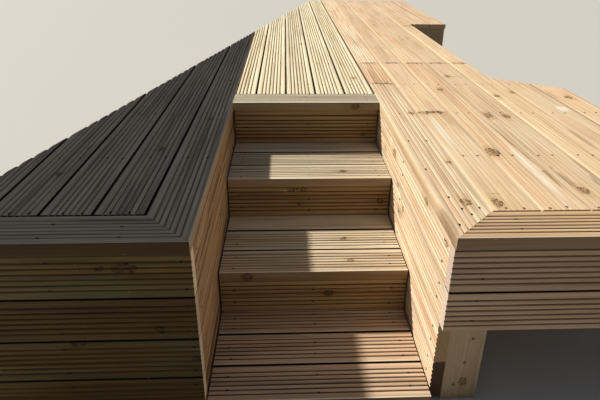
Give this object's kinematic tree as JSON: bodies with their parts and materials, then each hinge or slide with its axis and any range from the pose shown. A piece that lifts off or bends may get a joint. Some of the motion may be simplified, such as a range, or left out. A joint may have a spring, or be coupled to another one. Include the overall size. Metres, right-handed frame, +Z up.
{
  "type": "wooden deck stairs",
  "caption": "Straight flight of grooved timber treads let into a raised deck, between boarded cheeks, with mitred border boards, risers, stringers, joists and posts.",
  "frame": {"origin": "on the ground, on the centre line of the flight, in the plane of the front boards' faces", "axes": "+X to the right of someone going up, +Y along the flight into the deck, +Z up"},
  "size_m": [2.113, 4.7535, 0.533],
  "materials": {
    "pale_decking": "matt, weathered pine",
    "grey_decking": "matt, greyed pine",
    "brown_cladding": "matt, brown treated pine",
    "frame_timber": "matt, sawn pine"
  },
  "bodies": {
    "root": {"right_front_border": "pale_decking", "right_side_border": "pale_decking", "right_deck_boards": "pale_decking", "landing_boards": "pale_decking", "top_nosing": "pale_decking", "lower_tread_front": "pale_decking", "lower_tread_middle": "pale_decking", "lower_tread_rear": "pale_decking", "middle_tread_front": "pale_decking", "middle_tread_middle": "pale_decking", "middle_tread_rear": "pale_decking", "upper_tread_front": "pale_decking", "upper_tread_middle": "pale_decking", "upper_tread_rear": "pale_decking", "right_cheek_boards": "pale_decking", "left_front_border": "grey_decking", "left_side_border": "grey_decking", "left_deck_boards": "grey_decking", "left_fascia_boards": "grey_decking", "right_fascia_boards": "grey_decking", "lower_riser": "brown_cladding", "middle_riser": "brown_cladding", "upper_riser": "brown_cladding", "packing_strip": "brown_cladding", "left_cheek_boards": "brown_cladding", "ground_battens": "frame_timber", "left_stringer": "frame_timber", "centre_stringer": "frame_timber", "right_stringer": "frame_timber", "stringer_ledger": "frame_timber", "front_rims": "frame_timber", "trimmers": "frame_timber", "header_joist": "frame_timber", "left_wing_joists": "frame_timber", "right_wing_joists": "frame_timber", "landing_joists": "frame_timber", "left_rim": "frame_timber", "right_rim": "frame_timber", "angled_rim": "frame_timber", "right_rear_rim": "frame_timber", "rear_rim": "frame_timber", "corner_posts": "frame_timber", "flight_posts": "frame_timber", "left_posts": "frame_timber", "right_posts": "frame_timber", "landing_post": "frame_timber"}
  },
  "joints": []
}
